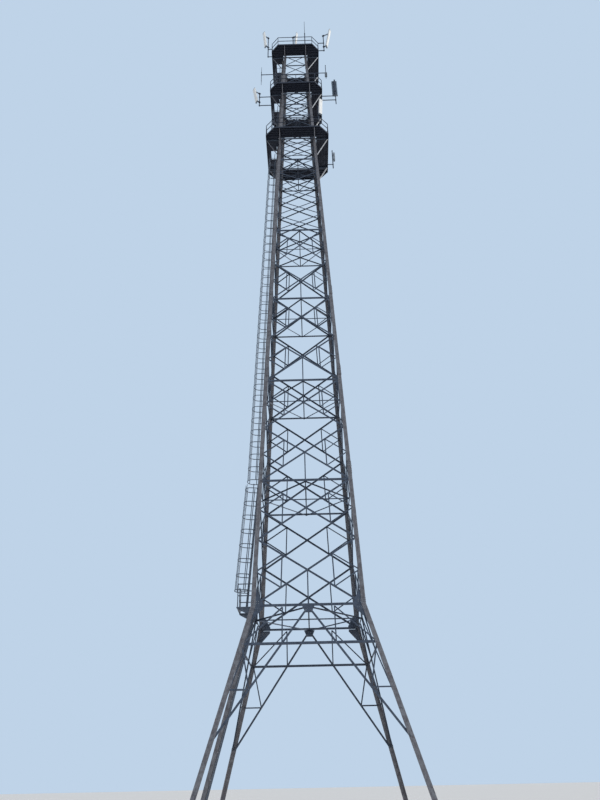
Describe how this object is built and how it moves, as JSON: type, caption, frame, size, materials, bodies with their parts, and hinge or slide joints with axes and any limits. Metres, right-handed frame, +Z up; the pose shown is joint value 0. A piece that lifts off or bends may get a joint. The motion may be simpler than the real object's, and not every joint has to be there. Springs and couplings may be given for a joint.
{
  "type": "four-legged lattice cell tower, 1:2 scale model",
  "caption": "Angle-steel lattice cell tower with a splayed base, cross-braced body, railed decks, caged ladder, cable run and swivelling panel antennas.",
  "frame": {"origin": "middle of the four feet, in the plane of the base plates' undersides", "axes": "+Z up along the tower's axis, +X to the right and -Y towards the viewer of the pictured front side; the ladder is on the -X side"},
  "size_m": [4.8098, 4.8098, 29.78],
  "materials": {
    "galvanised_steel": "weathered hot-dip galvanised angle steel",
    "deck_steel": "weathered galvanised deck steel, dark below",
    "ladder_steel": "weathered galvanised flat bar",
    "cable_jacket": "matt black polyethylene jacket",
    "antenna_shell": "off-white glass-fibre shell, satin",
    "painted_unit": "grey painted housing"
  },
  "bodies": {
    "tower": {"base_plates": "galvanised_steel", "leg_front_right": "galvanised_steel", "leg_back_right": "galvanised_steel", "leg_back_left": "galvanised_steel", "leg_front_left": "galvanised_steel", "base_bracing_front": "galvanised_steel", "base_bracing_right": "galvanised_steel", "base_bracing_back": "galvanised_steel", "base_bracing_left": "galvanised_steel", "body_bracing_front": "galvanised_steel", "body_bracing_right": "galvanised_steel", "body_bracing_back": "galvanised_steel", "body_bracing_left": "galvanised_steel", "upper_bracing_front": "galvanised_steel", "upper_bracing_right": "galvanised_steel", "upper_bracing_back": "galvanised_steel", "upper_bracing_left": "galvanised_steel", "plan_bracing": "galvanised_steel", "low_deck": "deck_steel", "mid_deck": "deck_steel", "top_deck": "deck_steel", "low_deck_frame": "deck_steel", "mid_deck_frame": "deck_steel", "top_deck_frame": "deck_steel", "low_deck_brackets": "galvanised_steel", "mid_deck_brackets": "galvanised_steel", "top_deck_brackets": "galvanised_steel", "low_railing": "deck_steel", "mid_railing": "deck_steel", "top_railing": "deck_steel", "ladder": "ladder_steel", "cage_front_side": "ladder_steel", "cage_back_side": "ladder_steel", "cage_outer_side": "ladder_steel", "waist_landing": "ladder_steel", "cable_tray": "ladder_steel", "feeder_cables": "cable_jacket", "lightning_rod": "galvanised_steel", "top_antenna_poles": "galvanised_steel", "mid_antenna_poles": "galvanised_steel", "low_antenna_poles": "galvanised_steel", "whip_antenna": "galvanised_steel", "radio_unit_top": "painted_unit", "radio_unit_low": "painted_unit"},
    "panel_top_right_body": {"panel_top_right": "antenna_shell"},
    "panel_top_left_body": {"panel_top_left": "antenna_shell"},
    "panel_top_front_body": {"panel_top_front": "antenna_shell"},
    "panel_mid_left_body": {"panel_mid_left": "antenna_shell"},
    "panel_mid_right_body": {"panel_mid_right": "antenna_shell"},
    "panel_low_right_body": {"panel_low_right": "antenna_shell"}
  },
  "joints": [
    {"name": "swivel_top_right", "type": "hinge", "parent": "tower", "child": "panel_top_right_body", "pos_m": [1.21, -0.69, 27.16], "axis": [0, 0, 1], "range_deg": [-45, 45]},
    {"name": "swivel_top_left", "type": "hinge", "parent": "tower", "child": "panel_top_left_body", "pos_m": [-1.15, -0.5, 27.6], "axis": [0, 0, 1], "range_deg": [-45, 45]},
    {"name": "swivel_top_front", "type": "hinge", "parent": "tower", "child": "panel_top_front_body", "pos_m": [-0.075, -0.76, 27.2], "axis": [0, 0, 1], "range_deg": [-45, 45]},
    {"name": "swivel_mid_left", "type": "hinge", "parent": "tower", "child": "panel_mid_left_body", "pos_m": [-1.5, -0.1, 24.3], "axis": [0, 0, 1], "range_deg": [-45, 45]},
    {"name": "swivel_mid_right", "type": "hinge", "parent": "tower", "child": "panel_mid_right_body", "pos_m": [1.6, -0.06, 24.95], "axis": [0, 0, 1], "range_deg": [-45, 45]},
    {"name": "swivel_low_right", "type": "hinge", "parent": "tower", "child": "panel_low_right_body", "pos_m": [0.8, -1.23, 21.58], "axis": [0, 0, 1], "range_deg": [-45, 45]}
  ]
}
